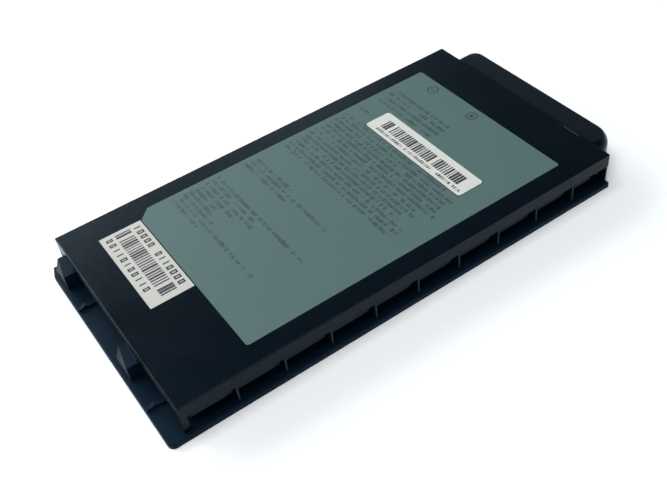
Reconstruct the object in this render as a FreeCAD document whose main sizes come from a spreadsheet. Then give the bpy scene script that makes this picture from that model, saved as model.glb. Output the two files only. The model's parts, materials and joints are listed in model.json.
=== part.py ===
# Laptop battery pack: a welded two-part case with three flat cells in series, a protection board and
# a contact block in the nose. The model is drawn from the outer front corner of the base flange, with
# X along the pack, Y from the front side to the back and Z up, and then centred over the origin.
import FreeCAD, Part
import Sketcher
import math
import os
import re

CELL_COUNT = 3
MARGIN = 1.0  # how far a cutting profile reaches past the faces that it cuts
TOLERANCE = 1e-6  # how closely an edge has to lie at a wanted place

# Driving sizes in millimetres, apart from counts and one angle.
SIZES = {
    # base flange and tray wall
    "flange_near": 5.5,
    "flange_front": 1.5,
    "flange_thickness": 1.9,
    "flange_corner": 2.0,
    "flange_far_corner": 0.6,
    "flange_cut_length": 4.3,
    "flange_cut_depth": 1.4,
    "flange_round": 0.5,
    "wall_inset": 3.75,
    "wall_thickness": 1.5,
    # cover
    "cover_length": 161.5,
    "cover_width": 86.0,
    "case_height": 12.8,
    "plate_thickness": 1.5,
    "skirt_thickness": 1.6,
    "skirt_height": 4.8,
    "cover_edge": 0.3,
    "post_width": 2.1,
    # ribs along both long sides
    "rib_count": 9,
    "rib_start": 17.8,
    "rib_end": 15.7,
    "rib_thickness": 0.6,
    "rib_setback": 0.15,
    # low ribs and catches on the near flange
    "end_rib_front": 12.8,
    "end_rib_back": 23.4,
    "end_rib_thickness": 1.3,
    "end_rib_height": 0.9,
    "end_rib_margin": 0.3,
    "end_knob_length": 2.8,
    "end_knob_height": 1.7,
    "end_knob_drop": 1.3,
    "catch_front": 25.7,
    "catch_width": 9.6,
    "catch_back": 4.1,
    "catch_reach": 4.0,
    "catch_back_reach": 2.2,
    "catch_taper_degrees": 23.0,
    "bead_size": 0.5,
    "bead_margin": 0.9,
    # nose at the far end
    "nose_length": 10.3,
    "nose_front": 4.9,
    "nose_back": 8.2,
    "nose_front_corner": 9.3,
    "nose_back_corner": 4.7,
    "nose_roll": 3.5,
    "nose_edge": 0.8,
    "nose_bottom": 2.5,
    "nose_floor": 1.5,
    "nose_wall": 1.6,
    "nose_roof": 2.2,
    "nose_slope_start": 0.8,
    "nose_slope_drop": 0.9,
    "nose_ridge_front": 13.6,
    "nose_ridge_length": 7.0,
    "nose_ridge_width": 0.7,
    "nose_ridge_height": 0.1,
    # label and stickers
    "label_near": 26.2,
    "label_front": 7.0,
    "label_far": 15.7,
    "label_back": 7.0,
    "label_chamfer": 4.2,
    "label_corner": 0.9,
    "label_thickness": 0.2,
    "sticker_thickness": 0.1,
    "serial_corner": 1.0,
    "part_sticker_corner": 0.2,
    "serial_far": 24.2,
    "serial_front": 9.5,
    "serial_length": 10.4,
    "serial_width": 50.5,
    "part_sticker_back": 4.0,
    "part_sticker_gap": 0.4,
    "part_sticker_length": 14.9,
    "part_sticker_width": 37.7,
    # cells
    "cell_clearance": 0.6,
    "cell_gap": 0.8,
    "cell_corner": 2.2,
    "cell_edge": 0.9,
    "seal_length": 3.6,
    "seal_thickness": 0.8,
    "seal_margin": 1.5,
    "tab_clearance": 1.2,
    "tab_length": 3.4,
    "tab_width": 7.0,
    "tab_thickness": 0.2,
    "tab_inset": 5.0,
    "strip_thickness": 0.15,
    "link_width": 2.2,
    "ribbon_height": 3.0,
    "ribbon_gap": 0.65,
    "tape_thickness": 0.2,
    "tape_margin": 4.0,
    "foam_thickness": 0.8,
    "foam_margin": 9.0,
    # board and its parts
    "board_room": 14.6,
    "insulator_gap": 0.2,
    "insulator_thickness": 0.25,
    "board_gap": 1.8,
    "board_thickness": 1.2,
    "board_front": 9.0,
    "board_back": 1.2,
    "board_clearance": 0.2,
    "rest_length": 1.2,
    "rest_thickness": 1.4,
    "gauge_size": 7.0,
    "gauge_height": 1.0,
    "switch_size": 3.6,
    "switch_height": 1.1,
    "fuse_length": 5.4,
    "fuse_width": 3.4,
    "fuse_height": 1.6,
    "resistor_length": 6.4,
    "resistor_width": 3.2,
    "resistor_height": 0.7,
    "capacitor_length": 2.0,
    "capacitor_width": 1.3,
    "capacitor_height": 1.2,
    "capacitor_spacing": 2.6,
    "capacitor_count": 6,
    "part_spacing": 2.0,
    "bead_radius": 0.9,
    "bead_length": 3.0,
    "lead_width": 0.4,
    # contact block
    "contact_count": 7,
    "contact_pitch": 3.6,
    "contact_back": 10.4,
    "contact_margin": 2.6,
    "housing_depth": 7.0,
    "housing_clearance": 0.2,
    "window_sill": 0.5,
    "window_clearance": 0.1,
    "face_setback": 0.2,
    "slot_opening": 1.2,
    "slot_bridge": 0.6,
    "contact_thickness": 0.4,
    "contact_setback": 0.8,
    "solder_length": 1.6,
}

doc = FreeCAD.newDocument("laptop_battery")
sheet = doc.addObject("Spreadsheet::Sheet", "sizes")
for row, (alias, size) in enumerate(SIZES.items(), start=1):
    sheet.set(f"A{row}", alias)
    sheet.set(f"B{row}", str(size))
    sheet.setAlias(f"B{row}", alias)
doc.recompute()

# Places that several pieces share, each written from the sizes above.
COVER_NEAR = "flange_near"
COVER_FAR = "(flange_near + cover_length)"
COVER_FRONT = "flange_front"
COVER_BACK = "(flange_front + cover_width)"
NOSE_END = "(flange_near + cover_length + nose_length)"
NOSE_FRONT = "(flange_front + nose_front)"
NOSE_BACK = "(flange_front + cover_width - nose_back)"
PARTING = "(case_height - skirt_height)"
CEILING = "(case_height - plate_thickness)"
WALL_NEAR = "(flange_near + wall_inset)"
WALL_FAR = "(flange_near + cover_length - wall_inset)"
WALL_FRONT = "(flange_front + wall_inset)"
WALL_BACK = "(flange_front + cover_width - wall_inset)"
CAVITY_NEAR = f"({WALL_NEAR} + wall_thickness)"
CAVITY_FAR = f"({WALL_FAR} - wall_thickness)"
CAVITY_FRONT = f"({WALL_FRONT} + wall_thickness)"
CAVITY_BACK = f"({WALL_BACK} - wall_thickness)"
RIB_PITCH = "((cover_length - rib_start - rib_end) / (rib_count - 1))"
END_RIB_SPACING = "(cover_width - end_rib_front - end_rib_back - end_rib_thickness)"
CATCH_SPACING = "(cover_width - catch_front - catch_back - catch_width)"
SILL = "(nose_bottom + nose_floor)"
CELL_NEAR = f"({CAVITY_NEAR} + cell_clearance)"
CELLS_FAR = f"({CAVITY_FAR} - board_room)"
CELL_LENGTH = f"(({CELLS_FAR} - {CELL_NEAR} - {CELL_COUNT - 1} * cell_gap) / {CELL_COUNT})"
TAB_BACK = f"({CAVITY_BACK} - tab_clearance)"
SEAL_BACK = f"({TAB_BACK} - tab_length)"
CELL_FRONT = f"({CAVITY_FRONT} + cell_clearance)"
CELL_BACK = f"({SEAL_BACK} - seal_length)"
CELL_WIDTH = f"({CELL_BACK} - {CELL_FRONT})"
CELL_BOTTOM = "(flange_thickness + tape_thickness)"
CELL_TOP = f"({CEILING} - foam_thickness)"
CELL_MIDDLE = f"(({CELL_BOTTOM} + {CELL_TOP}) / 2)"
TAB_TOP = f"({CELL_MIDDLE} + tab_thickness / 2)"
RIBBON = f"({CAVITY_BACK} - ribbon_gap - strip_thickness)"
SHEET_NEAR = f"({CELLS_FAR} + insulator_gap)"
BOARD_NEAR = f"({SHEET_NEAR} + insulator_thickness + board_gap)"
BOARD_FAR = f"({CAVITY_FAR} - board_clearance)"
BOARD_FRONT = f"({CAVITY_FRONT} + board_front)"
BOARD_BACK = f"({CAVITY_BACK} - board_back)"
BOARD_TOP = f"({SILL} + board_thickness)"
LABEL_NEAR = f"({COVER_NEAR} + label_near)"
LABEL_FAR = f"({COVER_FAR} - label_far)"
LABEL_FRONT = f"({COVER_FRONT} + label_front)"
LABEL_BACK = f"({COVER_BACK} - label_back)"
HOUSING_FAR = f"({NOSE_END} - nose_wall)"
HOUSING_NEAR = f"({HOUSING_FAR} - housing_depth)"
FIRST_CONTACT = f"({NOSE_BACK} - contact_back - contact_pitch * (contact_count - 1))"
HOUSING_FRONT = f"({FIRST_CONTACT} - contact_margin)"
HOUSING_BACK = f"({NOSE_BACK} - contact_back + contact_margin)"
HOUSING_TOP = f"({PARTING} - housing_clearance)"
WINDOW_BOTTOM = f"({SILL} + window_sill)"
WINDOW_TOP = f"({HOUSING_TOP} - window_sill)"
SHIFT_X = f"(-{NOSE_END} / 2)"
SHIFT_Y = f"(-{COVER_BACK} / 2)"

sub_parts = []


def linked(text):
    """Turn plain size names into references to the sheet."""
    return re.sub(r"[a-z][a-z_]*", lambda word: "sizes." + word.group(), text)


def value(text):
    """The number that an expression of size names gives."""
    return float(sheet.evalExpression(linked(text)))


def bind(item, setting, text):
    item.setExpression(setting, linked(text))


def place(item, x="0", y="0", z="0"):
    """Put an item at a point of the pack, with the whole pack centred over the origin."""
    bind(item, "Placement.Base.x", f"{x} + {SHIFT_X}")
    bind(item, "Placement.Base.y", f"{y} + {SHIFT_Y}")
    bind(item, "Placement.Base.z", z)


def finish(item, label):
    """Name a finished sub-part and put it on the list to write."""
    item.Label = label
    sub_parts.append(item)
    return item


def new_body(name):
    body = doc.addObject("PartDesign::Body", name)
    place(body)
    return body


def origin_feature(body, role):
    return next(item for item in body.Origin.OriginFeatures if item.Role == role)


def new_sketch(body, name, plane, offset):
    """A sketch on one of the body's planes, moved along the plane's normal by offset."""
    sketch = body.newObject("Sketcher::SketchObject", name)
    sketch.AttachmentSupport = [(origin_feature(body, plane), "")]
    sketch.MapMode = "FlatFace"
    bind(sketch, "AttachmentOffset.Base.z", offset)
    return sketch


def fix_point(sketch, line, end, x, y):
    """Hold a line's end at a point given by two expressions."""
    for kind, text in (("DistanceX", x), ("DistanceY", y)):
        index = sketch.addConstraint(Sketcher.Constraint(kind, -1, 1, line, end, value(text)))
        bind(sketch, f"Constraints[{index}]", text)


def polygon(sketch, points):
    """A closed outline through points, each an x and a y expression."""
    spots = [FreeCAD.Vector(value(x), value(y), 0) for x, y in points]
    first = len(sketch.Geometry)
    count = len(points)
    for index in range(count):
        sketch.addGeometry(Part.LineSegment(spots[index], spots[(index + 1) % count]), False)
    for index in range(count):
        after = first + (index + 1) % count
        sketch.addConstraint(Sketcher.Constraint("Coincident", first + index, 2, after, 1))
    for index, (x, y) in enumerate(points):
        fix_point(sketch, first + index, 1, x, y)


def rectangle(sketch, left, bottom, right, top):
    polygon(sketch, [(left, bottom), (right, bottom), (right, top), (left, top)])


def pad(body, sketch, length, name, reverse=False):
    feature = body.newObject("PartDesign::Pad", name)
    feature.Profile = sketch
    bind(feature, "Length", length)
    feature.Reversed = reverse
    doc.recompute()
    return feature


def pocket(body, sketch, depth, name, reverse=False, taper="0"):
    """Cut a profile into the body, and make sure that it did remove something."""
    volume_before = body.Shape.Volume
    feature = body.newObject("PartDesign::Pocket", name)
    feature.Profile = sketch
    bind(feature, "Length", depth)
    bind(feature, "TaperAngle", taper)
    feature.Reversed = reverse
    doc.recompute()
    if feature.Shape.Volume >= volume_before:
        raise RuntimeError(f"{name} cuts nothing")
    return feature


def repeat(body, features, axis, length, count, name):
    """Copies of some features in a row, spread over a length."""
    pattern = body.newObject("PartDesign::LinearPattern", name)
    pattern.Originals = features
    pattern.Direction = (origin_feature(body, axis), [""])
    bind(pattern, "Length", length)
    bind(pattern, "Occurrences", count)
    body.Tip = pattern
    doc.recompute()
    return pattern


def same(first, second):
    return abs(first - second) < TOLERANCE


def is_upright(edge):
    box = edge.BoundBox
    return same(box.XLength, 0) and same(box.YLength, 0)


def is_level(edge, height):
    return same(edge.BoundBox.ZMin, height) and same(edge.BoundBox.ZMax, height)


def round_edges(body, base, wanted, radius, name):
    """Round the edges of the base feature that the test picks."""
    edges = [f"Edge{number}" for number, edge in enumerate(base.Shape.Edges, start=1) if wanted(edge)]
    fillet = body.newObject("PartDesign::Fillet", name)
    fillet.Base = (base, edges)
    bind(fillet, "Radius", radius)
    doc.recompute()
    return fillet


def add_corner(sketch, before, after, centre, radius, start_angle):
    """A quarter circle from the end of one line to the start of another."""
    spot = FreeCAD.Vector(value(centre[0]), value(centre[1]), 0)
    circle = Part.Circle(spot, FreeCAD.Vector(0, 0, 1), value(radius))
    arc = sketch.addGeometry(Part.ArcOfCircle(circle, start_angle, start_angle + math.pi / 2), False)
    sketch.addConstraint(Sketcher.Constraint("Coincident", arc, 1, before, 2))
    sketch.addConstraint(Sketcher.Constraint("Coincident", arc, 2, after, 1))
    index = sketch.addConstraint(Sketcher.Constraint("Radius", arc, value(radius)))
    bind(sketch, f"Constraints[{index}]", radius)


def nose_outline(sketch, near, inset):
    """The nose in plan at an inset from its outside, with a wide front corner and a tighter back one."""
    front, back = f"({NOSE_FRONT} + {inset})", f"({NOSE_BACK} - {inset})"
    end = f"({NOSE_END} - {inset})"
    wide, tight = f"(nose_front_corner - {inset})", f"(nose_back_corner - {inset})"
    runs = [
        ((near, back), (near, front)),
        ((near, front), (f"{end} - {wide}", front)),
        ((end, f"{front} + {wide}"), (end, f"{back} - {tight}")),
        ((f"{end} - {tight}", back), (near, back)),
    ]
    for line, (first, last) in enumerate(runs):
        spots = [FreeCAD.Vector(value(x), value(y), 0) for x, y in (first, last)]
        sketch.addGeometry(Part.LineSegment(*spots), False)
        fix_point(sketch, line, 1, *first)
    fix_point(sketch, 1, 2, *runs[1][1])
    fix_point(sketch, 2, 2, *runs[2][1])
    sketch.addConstraint(Sketcher.Constraint("Coincident", 0, 2, 1, 1))
    sketch.addConstraint(Sketcher.Constraint("Coincident", 3, 2, 0, 1))
    add_corner(sketch, 1, 2, (f"{end} - {wide}", f"{front} + {wide}"), wide, -math.pi / 2)
    add_corner(sketch, 2, 3, (f"{end} - {tight}", f"{back} - {tight}"), tight, 0)


def block(name, x, y, z, length, width, height):
    """A plain box at a point of the pack."""
    box = doc.addObject("Part::Box", name)
    bind(box, "Length", length)
    bind(box, "Width", width)
    bind(box, "Height", height)
    place(box, x, y, z)
    return box


def joined(name, pieces):
    """Several boxes as one solid, such as a strip bent from flat metal."""
    fuse = doc.addObject("Part::MultiFuse", name)
    fuse.Shapes = pieces
    fuse.Refine = True
    return fuse


def together(name, pieces):
    """Like pieces in one node, each still a solid of its own."""
    group = doc.addObject("Part::Compound", name)
    group.Links = pieces
    return group


# Bottom case

def add_floor(body):
    """The base plate, which reaches past the cover at the near end and along the front."""
    sketch = new_sketch(body, "floor_outline", "XY_Plane", "0")
    polygon(sketch, [
        ("0", "0"),
        (COVER_FAR, "0"),
        (COVER_FAR, COVER_BACK),
        ("flange_cut_depth", COVER_BACK),
        ("0", f"{COVER_BACK} - flange_cut_length"),
    ])
    floor = pad(body, sketch, "flange_thickness", "floor")
    far = value(COVER_FAR)

    def at_near_corner(edge):
        return is_upright(edge) and same(edge.BoundBox.XMin, 0) and same(edge.BoundBox.YMin, 0)

    def at_far_corner(edge):
        return is_upright(edge) and same(edge.BoundBox.XMin, far)

    near_corner = round_edges(body, floor, at_near_corner, "flange_corner", "floor_near_corner")
    corners = round_edges(body, near_corner, at_far_corner, "flange_far_corner", "floor_far_corners")
    top = value("flange_thickness")
    round_edges(body, corners, lambda edge: is_level(edge, top), "flange_round", "floor_edge")


def add_tray_wall(body):
    """The recessed wall that carries the cover's plate."""
    sketch = new_sketch(body, "wall_outline", "XY_Plane", "flange_thickness")
    rectangle(sketch, WALL_NEAR, WALL_FRONT, WALL_FAR, WALL_BACK)
    rectangle(sketch, CAVITY_NEAR, CAVITY_FRONT, CAVITY_FAR, CAVITY_BACK)
    pad(body, sketch, f"{CEILING} - flange_thickness", "tray_wall")


def add_side_ribs(body):
    """Thin ribs on both long sides, which carry the cover's skirt in front of the recessed wall."""
    centre = f"({COVER_NEAR} + rib_start)"
    near, far = f"({centre} - rib_thickness / 2)", f"({centre} + rib_thickness / 2)"
    root = "wall_thickness / 2"
    sketch = new_sketch(body, "rib_outline", "XY_Plane", "flange_thickness")
    rectangle(sketch, near, f"{COVER_FRONT} + rib_setback", far, f"{WALL_FRONT} + {root}")
    rectangle(sketch, near, f"{WALL_BACK} - {root}", far, f"{COVER_BACK} - rib_setback")
    ribs = pad(body, sketch, f"{PARTING} - flange_thickness", "side_rib")
    repeat(body, [ribs], "X_Axis", f"{RIB_PITCH} * (rib_count - 1)", "rib_count", "side_ribs")
    legs = new_sketch(body, "leg_outline", "XY_Plane", "flange_thickness - flange_round")
    leg_far = f"({COVER_FAR} - rib_setback)"
    leg_near = f"({leg_far} - rib_thickness)"
    front, back = f"{COVER_FRONT} + rib_setback", f"{COVER_BACK} - rib_setback"
    rectangle(legs, leg_near, front, leg_far, WALL_FRONT)
    rectangle(legs, leg_near, WALL_BACK, leg_far, back)
    pad(body, legs, f"{PARTING} - flange_thickness + flange_round", "corner_legs")


def add_end_ribs(body):
    """Low ribs across the near flange, each with a knob at its outer end that slopes down outwards."""
    foot = "(flange_thickness - flange_round)"
    back = f"({COVER_FRONT} + end_rib_front + end_rib_thickness)"
    ribs = new_sketch(body, "end_rib_outline", "XZ_Plane", f"-({back})")
    rectangle(ribs, "end_rib_margin", foot, WALL_NEAR, "flange_thickness + end_rib_height")
    rib = pad(body, ribs, "end_rib_thickness", "end_rib")
    knobs = new_sketch(body, "end_knob_outline", "XZ_Plane", f"-({back})")
    knob_far = "end_rib_margin + end_knob_length"
    knob_top = "flange_thickness + end_knob_height"
    polygon(knobs, [
        ("end_rib_margin", foot),
        (knob_far, foot),
        (knob_far, knob_top),
        ("end_rib_margin", f"{knob_top} - end_knob_drop"),
    ])
    knob = pad(body, knobs, "end_rib_thickness", "end_knob")
    repeat(body, [rib, knob], "Y_Axis", END_RIB_SPACING, "2", "end_ribs")


def add_catches(body):
    """Two catches under the near skirt, each with a facet that narrows to a point at its front end.

    A weld bead runs along each catch in the corner between its top and the skirt.
    """
    front = f"({COVER_FRONT} + catch_front)"
    outer = f"({COVER_NEAR} - catch_reach)"
    foot = "(flange_thickness - flange_round)"
    sketch = new_sketch(body, "catch_outline", "XY_Plane", foot)
    rectangle(sketch, outer, front, f"{WALL_NEAR} + wall_thickness / 2", f"{front} + catch_width")
    catch = pad(body, sketch, f"{PARTING} - {foot}", "catch")
    facet = new_sketch(body, "facet_outline", "XY_Plane", PARTING)
    past_back = f"{front} + 2 * catch_width"
    polygon(facet, [
        (outer, front),
        (f"{outer} + 2 * (catch_reach - catch_back_reach)", past_back),
        (f"{outer} - catch_width", past_back),
        (f"{outer} - catch_width", front),
    ])
    depth = f"{PARTING} - flange_thickness"
    slope = pocket(body, facet, depth, "catch_facet", taper="-catch_taper_degrees")
    corner = new_sketch(body, "bead_outline", "XZ_Plane", f"-({front} + catch_width - bead_margin)")
    polygon(corner, [
        (f"{COVER_NEAR} - bead_size", PARTING),
        (COVER_NEAR, PARTING),
        (COVER_NEAR, f"{PARTING} + bead_size"),
    ])
    bead = pad(body, corner, "catch_width - 2 * bead_margin", "catch_bead")
    repeat(body, [catch, slope, bead], "Y_Axis", CATCH_SPACING, "2", "catches")


def add_lower_nose(body):
    """The lower half of the nose, open into the tray, with a window for the contact block."""
    sketch = new_sketch(body, "lower_nose_outline", "XY_Plane", "nose_bottom")
    nose_outline(sketch, f"{WALL_FAR} - wall_thickness / 2", "0")
    nose = pad(body, sketch, f"{PARTING} - nose_bottom", "lower_nose")
    bottom = value("nose_bottom")
    root = value(WALL_FAR)

    def under_rim(edge):
        return is_level(edge, bottom) and edge.BoundBox.XMax > root + TOLERANCE

    round_edges(body, nose, under_rim, "nose_edge", "lower_nose_edge")
    inside = new_sketch(body, "lower_nose_inside", "XY_Plane", SILL)
    nose_outline(inside, f"{CAVITY_FAR} - {MARGIN}", "nose_wall")
    pocket(body, inside, f"case_height - {SILL}", "lower_nose_hollow", reverse=True)
    window = new_sketch(body, "window_outline", "YZ_Plane", f"{NOSE_END} - nose_wall - {MARGIN}")
    rectangle(
        window, f"{HOUSING_FRONT} + window_sill", WINDOW_BOTTOM,
        f"{HOUSING_BACK} - window_sill", WINDOW_TOP,
    )
    pocket(body, window, f"nose_wall + 2 * {MARGIN}", "connector_window", reverse=True)


def add_board_rests(body):
    """Two short ribs on the floor under the board's inner edge."""
    sketch = new_sketch(body, "rest_outline", "XY_Plane", "flange_thickness - flange_round")
    for front in (f"({BOARD_FRONT} + rest_thickness)", f"({BOARD_BACK} - 2 * rest_thickness)"):
        rectangle(sketch, BOARD_NEAR, front, f"{BOARD_NEAR} + rest_length", f"{front} + rest_thickness")
    pad(body, sketch, f"{SILL} - flange_thickness + flange_round", "board_rests")


def bottom_case():
    body = new_body("bottom_case_body")
    add_floor(body)
    add_tray_wall(body)
    add_side_ribs(body)
    add_end_ribs(body)
    add_catches(body)
    add_lower_nose(body)
    add_board_rests(body)
    return finish(body, "bottom_case")


# Top cover

def add_nose(body):
    """The cover's half of the nose, whose top slopes towards its end and rolls down all round."""
    sketch = new_sketch(body, "nose_outline", "XY_Plane", PARTING)
    root = f"{COVER_FAR} - nose_front_corner"
    nose_outline(sketch, root, "0")
    nose = pad(body, sketch, "skirt_height", "nose_block")
    top = value("case_height")
    hidden_end = value(root)

    def on_free_edge(edge):
        return is_level(edge, top) and edge.BoundBox.XMax > hidden_end + TOLERANCE

    round_edges(body, nose, on_free_edge, "nose_roll", "nose_roll")
    wedge = new_sketch(body, "nose_slope_outline", "XZ_Plane", f"-({NOSE_FRONT} - {MARGIN})")
    start = f"({COVER_FAR} + nose_slope_start)"
    past_end = f"({NOSE_END} + nose_length - nose_slope_start)"
    polygon(wedge, [
        (start, "case_height"),
        (past_end, "case_height - 2 * nose_slope_drop"),
        (past_end, "case_height"),
    ])
    pocket(body, wedge, f"{NOSE_BACK} - {NOSE_FRONT} + 2 * {MARGIN}", "nose_slope")


def add_cover_block(body):
    """The cover above its parting line, before it is hollowed."""
    sketch = new_sketch(body, "cover_outline", "XY_Plane", PARTING)
    rectangle(sketch, COVER_NEAR, COVER_FRONT, COVER_FAR, COVER_BACK)
    plate = pad(body, sketch, "skirt_height", "cover_block")
    top = value("case_height")
    near, front, back = value(COVER_NEAR), value(COVER_FRONT), value(COVER_BACK)

    def on_outer_edge(edge):
        box = edge.BoundBox
        on_side = same(box.XMax, near) or same(box.YMax, front) or same(box.YMin, back)
        return is_level(edge, top) and on_side

    round_edges(body, plate, on_outer_edge, "cover_edge", "cover_edges")


def hollow_cover(body):
    """The space under the plate, and the one under the nose's roof."""
    inside = new_sketch(body, "cover_inside", "XY_Plane", PARTING)
    rectangle(
        inside, f"{COVER_NEAR} + skirt_thickness", f"{COVER_FRONT} + skirt_thickness",
        f"{COVER_FAR} - skirt_thickness", f"{COVER_BACK} - skirt_thickness",
    )
    pocket(body, inside, f"{CEILING} - {PARTING}", "cover_hollow", reverse=True)
    roof = new_sketch(body, "nose_roof_outline", "XY_Plane", PARTING)
    nose_outline(roof, f"{COVER_FAR} - skirt_thickness - {MARGIN}", "nose_wall")
    pocket(body, roof, "skirt_height - nose_roof", "nose_hollow", reverse=True)


def add_posts(body):
    """Posts that reach down from the skirt to the flange at the two near corners."""
    posts = new_sketch(body, "post_outline", "XY_Plane", "flange_thickness")
    near, far = COVER_NEAR, f"{COVER_NEAR} + post_width"
    rectangle(posts, near, COVER_FRONT, far, f"{COVER_FRONT} + skirt_thickness")
    rectangle(posts, near, f"{COVER_BACK} - skirt_thickness", far, COVER_BACK)
    pad(body, posts, f"{PARTING} - flange_thickness + {MARGIN}", "corner_posts")


def label_outline(sketch):
    """The label's outline, with one corner cut off."""
    polygon(sketch, [
        (LABEL_NEAR, LABEL_FRONT),
        (LABEL_FAR, LABEL_FRONT),
        (LABEL_FAR, LABEL_BACK),
        (f"{LABEL_NEAR} + label_chamfer", LABEL_BACK),
        (LABEL_NEAR, f"{LABEL_BACK} - label_chamfer"),
    ])


def add_top_details(body):
    """The shallow recess for the label, and a short low ridge by the nose."""
    recess = new_sketch(body, "recess_outline", "XY_Plane", "case_height")
    label_outline(recess)
    cut = pocket(body, recess, "label_thickness", "label_recess")
    depth = value("label_thickness")

    def in_recess(edge):
        return is_upright(edge) and same(edge.BoundBox.ZLength, depth)

    round_edges(body, cut, in_recess, "label_corner", "recess_corners")
    ridge_back = f"({COVER_FRONT} + nose_ridge_front + nose_ridge_length)"
    ridge = new_sketch(body, "ridge_outline", "XZ_Plane", f"-{ridge_back}")
    polygon(ridge, [
        (f"{COVER_FAR} - nose_ridge_width", "case_height"),
        (COVER_FAR, "case_height"),
        (f"{COVER_FAR} - nose_ridge_width / 2", "case_height + nose_ridge_height"),
    ])
    pad(body, ridge, "nose_ridge_length", "nose_ridge")


def top_cover():
    body = new_body("top_cover_body")
    add_nose(body)
    add_cover_block(body)
    hollow_cover(body)
    add_posts(body)
    add_top_details(body)
    return finish(body, "top_cover")


# Label and stickers

def sheet_body(name, outline, bottom, thickness, corner):
    """A thin sheet with rounded corners."""
    body = new_body(name + "_body")
    sketch = new_sketch(body, name + "_outline", "XY_Plane", bottom)
    outline(sketch)
    sheet_pad = pad(body, sketch, thickness, name + "_sheet")
    round_edges(body, sheet_pad, is_upright, corner, name + "_corners")
    return finish(body, name)


def stickers():
    label_bottom = "case_height - label_thickness"
    sheet_body("main_label", label_outline, label_bottom, "label_thickness", "label_corner")
    serial_far = f"({LABEL_FAR} - serial_far)"
    serial_front = f"({LABEL_FRONT} + serial_front)"
    part_back = f"({LABEL_BACK} - part_sticker_back)"

    def serial_outline(sketch):
        near, back = f"{serial_far} - serial_length", f"{serial_front} + serial_width"
        rectangle(sketch, near, serial_front, serial_far, back)

    def part_outline(sketch):
        far, front = f"({LABEL_NEAR} - part_sticker_gap)", f"{part_back} - part_sticker_width"
        rectangle(sketch, f"{far} - part_sticker_length", front, far, part_back)

    for name, outline, corner in (
        ("serial_sticker", serial_outline, "serial_corner"),
        ("part_sticker", part_outline, "part_sticker_corner"),
    ):
        sheet_body(name, outline, "case_height", "sticker_thickness", corner)


# Cells and the strips that join them

def cell_near(number):
    return f"({CELL_NEAR} + {number - 1} * ({CELL_LENGTH} + cell_gap))"


def tab_near(number, side):
    """The near edge of a cell's left or right tab."""
    if side == "left":
        return f"({cell_near(number)} + tab_inset)"
    return f"({cell_near(number)} + {CELL_LENGTH} - tab_inset - tab_width)"


def pouch_cell(number):
    """A flat pouch with rounded edges and a sealed edge at its tab end."""
    name = f"cell_{number}"
    near = cell_near(number)
    far = f"({near} + {CELL_LENGTH})"
    body = new_body(name + "_body")
    sketch = new_sketch(body, name + "_outline", "XY_Plane", CELL_BOTTOM)
    rectangle(sketch, near, CELL_FRONT, far, CELL_BACK)
    pouch = pad(body, sketch, f"{CELL_TOP} - {CELL_BOTTOM}", name + "_pouch")
    corners = round_edges(body, pouch, is_upright, "cell_corner", name + "_corners")
    low, high = value(CELL_BOTTOM), value(CELL_TOP)

    def on_rim(edge):
        return is_level(edge, low) or is_level(edge, high)

    round_edges(body, corners, on_rim, "cell_edge", name + "_edges")
    seal = new_sketch(body, name + "_seal_outline", "XY_Plane", f"{CELL_MIDDLE} - seal_thickness / 2")
    rectangle(seal, f"{near} + cell_corner + seal_margin", f"{CELL_BACK} - {MARGIN}",
              f"{far} - cell_corner - seal_margin", SEAL_BACK)
    pad(body, seal, "seal_thickness", name + "_seal")
    finish(body, name)
    tabs = [
        block(f"{name}_{side}_tab", tab_near(number, side), SEAL_BACK, f"{TAB_TOP} - tab_thickness",
              "tab_width", "tab_length", "tab_thickness")
        for side in ("left", "right")
    ]
    finish(together(name + "_tab_pair", tabs), name + "_tabs")
    for sheet_name, margin, bottom, thickness in (
        (f"cell_tape_{number}", "tape_margin", "flange_thickness", "tape_thickness"),
        (f"foam_pad_{number}", "foam_margin", CELL_TOP, "foam_thickness"),
    ):
        layer = block(sheet_name + "_layer", f"{near} + {margin}", f"{CELL_FRONT} + {margin}", bottom,
                      f"{CELL_LENGTH} - 2 * {margin}", f"{CELL_WIDTH} - 2 * {margin}", thickness)
        finish(layer, sheet_name)


def series_links():
    """Each link lies on the right tab of one cell and the left tab of the next."""
    for number in range(1, CELL_COUNT):
        near = tab_near(number, "right")
        length = f"{tab_near(number + 1, 'left')} + tab_width - {near}"
        link = block(f"link_{number}_strip", near, f"{TAB_BACK} - link_width", TAB_TOP,
                     length, "link_width", "strip_thickness")
        finish(link, f"series_link_{number}")


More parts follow.
